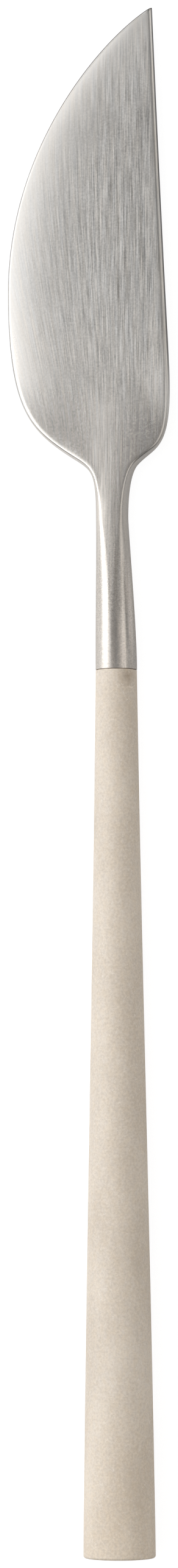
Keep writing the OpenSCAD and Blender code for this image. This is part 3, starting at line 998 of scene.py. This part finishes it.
FLOOR_HALF = 30.0
WHITE = (1, 1, 1, 1)
# The floor's own colour, and its colour and its own light as the camera and the steel see it
FLOOR_TONE = (0.86, 0.86, 0.86, 1)
FLOOR_TONE_SEEN = (0.2, 0.2, 0.2, 1)
FLOOR_LIGHT_SEEN = 0.91
FLOOR_TONE_MIRRORED = (0.45, 0.45, 0.45, 1)
FLOOR_LIGHT_LEFT = 0.6
FLOOR_LIGHT_RIGHT = 0.2
# Where on the floor, in metres, the left light turns to the right one. The dimmer glow on the right is
# the knife's shadow, painted into the floor that the steel mirrors
FLOOR_FADE = (-0.005, 0.008)


def floor_layer(tree, tone, strength):
    lit = add(tree, "ShaderNodeBsdfDiffuse", None, Color=tone)
    glow = add(tree, "ShaderNodeEmission", None, Color=WHITE, Strength=strength)
    return add(tree, "ShaderNodeAddShader", None, n0=lit.outputs[0], n1=glow.outputs[0]).outputs[0]


def floor_material():
    """White floor under a soft shadow. The camera sees it white, and the steel sees it dimmer, with a
    painted shadow that darkens it to the right.
    """
    material, tree = new_material("white_floor")
    paths = add(tree, "ShaderNodeLightPath").outputs
    place = add(tree, "ShaderNodeTexCoord").outputs["Object"]
    across_floor = add(tree, "ShaderNodeSeparateXYZ", None, Vector=place).outputs[0]
    # Painted shadow: the floor's glow for the steel fades to the right
    fade = spread(tree, across_floor, *FLOOR_FADE, FLOOR_LIGHT_LEFT, FLOOR_LIGHT_RIGHT)
    plain = add(tree, "ShaderNodeBsdfDiffuse", None, Color=FLOOR_TONE).outputs[0]
    mirrored = floor_layer(tree, FLOOR_TONE_MIRRORED, fade)
    seen = floor_layer(tree, FLOOR_TONE_SEEN, FLOOR_LIGHT_SEEN)
    by_object = add(tree, "ShaderNodeMath", {"operation": "MAXIMUM"}, n0=paths["Is Glossy Ray"],
                    n1=paths["Is Transmission Ray"]).outputs[0]
    unseen = add(tree, "ShaderNodeMixShader", None, n0=by_object, n1=plain, n2=mirrored).outputs[0]
    floor = add(tree, "ShaderNodeMixShader", None, n0=paths["Is Camera Ray"], n1=unseen, n2=seen)
    add(tree, "ShaderNodeOutputMaterial", None, Surface=floor.outputs[0])
    return material


def make_floor():
    mesh = bpy.data.meshes.new("floor")
    h = FLOOR_HALF
    z = CAD_LOW.z
    mesh.from_pydata([(-h, -h, z), (h, -h, z), (h, h, z), (-h, h, z)], [], [(0, 1, 2, 3)])
    obj = bpy.data.objects.new("floor", mesh)
    bpy.context.scene.collection.objects.link(obj)
    mesh.materials.append(floor_material())


# The room's light, the light behind the butt, and the Y of the directions where they meet
ROOM_LIGHT = 0.32
ROOM_LIGHT_BEHIND = 0.15
ROOM_FADE = (-0.6, -0.1)


def make_world():
    """White for the camera. For the object a dim room, dimmer behind the butt."""
    world = bpy.data.worlds.new("studio")
    bpy.context.scene.world = world
    world.use_nodes = True
    tree = world.node_tree
    tree.nodes.clear()
    way = add(tree, "ShaderNodeTexCoord").outputs["Generated"]
    ahead = add(tree, "ShaderNodeSeparateXYZ", None, Vector=way).outputs[1]
    level = spread(tree, ahead, *ROOM_FADE, ROOM_LIGHT_BEHIND, ROOM_LIGHT)
    room = add(tree, "ShaderNodeBackground", None, Color=WHITE, Strength=level)
    white = add(tree, "ShaderNodeBackground", None, Color=WHITE, Strength=1.0)
    paths = add(tree, "ShaderNodeLightPath").outputs
    both = add(tree, "ShaderNodeMixShader", None, n0=paths["Is Camera Ray"], n1=room.outputs[0],
               n2=white.outputs[0])
    add(tree, "ShaderNodeOutputWorld", None, Surface=both.outputs[0])


def soft_light(name, side, low, high, distance, length, radiance, along=0.0, colour=(1, 1, 1)):
    """A rectangular light beside the knife, from low to high degrees above the floor on one side."""
    a, b = math.radians(low), math.radians(high)
    bottom = Vector((side * distance * math.cos(a), along, distance * math.sin(a)))
    top = Vector((side * distance * math.cos(b), along, distance * math.sin(b)))
    middle = (bottom + top) / 2
    height = (top - bottom).length
    light = bpy.data.lights.new(name, "AREA")
    light.shape = "RECTANGLE"
    light.size = length
    light.size_y = height
    light.energy = radiance * math.pi * length * height
    light.color = colour
    obj = bpy.data.objects.new(name, light)
    away = Vector((middle.x, 0, middle.z)).normalized()
    lengthwise = Vector((0, 1, 0))
    rows = Matrix((lengthwise, away.cross(lengthwise), away)).transposed().to_4x4()
    obj.matrix_world = Matrix.Translation(middle) @ rows
    obj.visible_camera = False
    bpy.context.scene.collection.objects.link(obj)
    return obj


LEFT_LIGHT = (0.985, 0.995, 1.01)
RIGHT_LIGHT = (1.0, 0.98, 0.95)
SKY_LIGHT = (0.25, 0.55, 1.0)


def make_lights():
    """A large box on the left, a card on the right, and two fills that the steel doesn't mirror."""
    soft_light("left_box", side=-1, low=15, high=56, distance=0.9, length=1.3, radiance=2.42,
               along=0.35, colour=LEFT_LIGHT)
    soft_light("right_card", side=1, low=24, high=47, distance=0.9, length=2.0, radiance=0.87,
               along=0.3, colour=RIGHT_LIGHT)
    fill = soft_light("top_fill", side=-1, low=58, high=98, distance=1.2, length=1.6, radiance=0.92)
    fill.visible_glossy = False
    sky = soft_light("left_sky", side=-1, low=1, high=14, distance=0.9, length=1.6, radiance=0.65,
                     colour=SKY_LIGHT)
    sky.visible_glossy = False


def make_camera():
    at, target = Vector(CAMERA_AT) * MM, Vector(CAMERA_LOOKS_AT) * MM
    look = (target - at).normalized()
    right = look.cross(Vector((0, 1, 0))).normalized()
    up = right.cross(look)
    a = math.radians(CAMERA_ROLL)
    right, up = right * math.cos(a) + up * math.sin(a), up * math.cos(a) - right * math.sin(a)
    data = bpy.data.cameras.new("camera")
    data.sensor_width = SENSOR_W
    data.lens = SENSOR_W * FOCAL_PX / PHOTO_H
    data.clip_start = CLIP_START
    data.clip_end = CLIP_END
    camera = bpy.data.objects.new("camera", data)
    turn = Matrix((right, up, -look)).transposed().to_4x4()
    camera.matrix_world = Matrix.Translation(at) @ turn
    bpy.context.scene.collection.objects.link(camera)
    bpy.context.scene.camera = camera


def dress(obj, material):
    obj.data.materials.clear()
    obj.data.materials.append(material)


def make_piece(name, rings, layers, node):
    """A piece of the body that is seen instead of a CAD node."""
    obj = skin(name, rings, layers)
    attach(obj, "root")
    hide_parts(node)
    return obj


make_camera()
make_floor()
make_world()
make_lights()
dress(make_piece("steel_head", *head_rings(), "blade"), steel_material())
dress(make_piece("resin_handle", *handle_rings(), "handle"), resin_material())
dress(frame["nodes"]["tang_adhesive"], adhesive_material())
bpy.context.scene.view_settings.view_transform = "Standard"
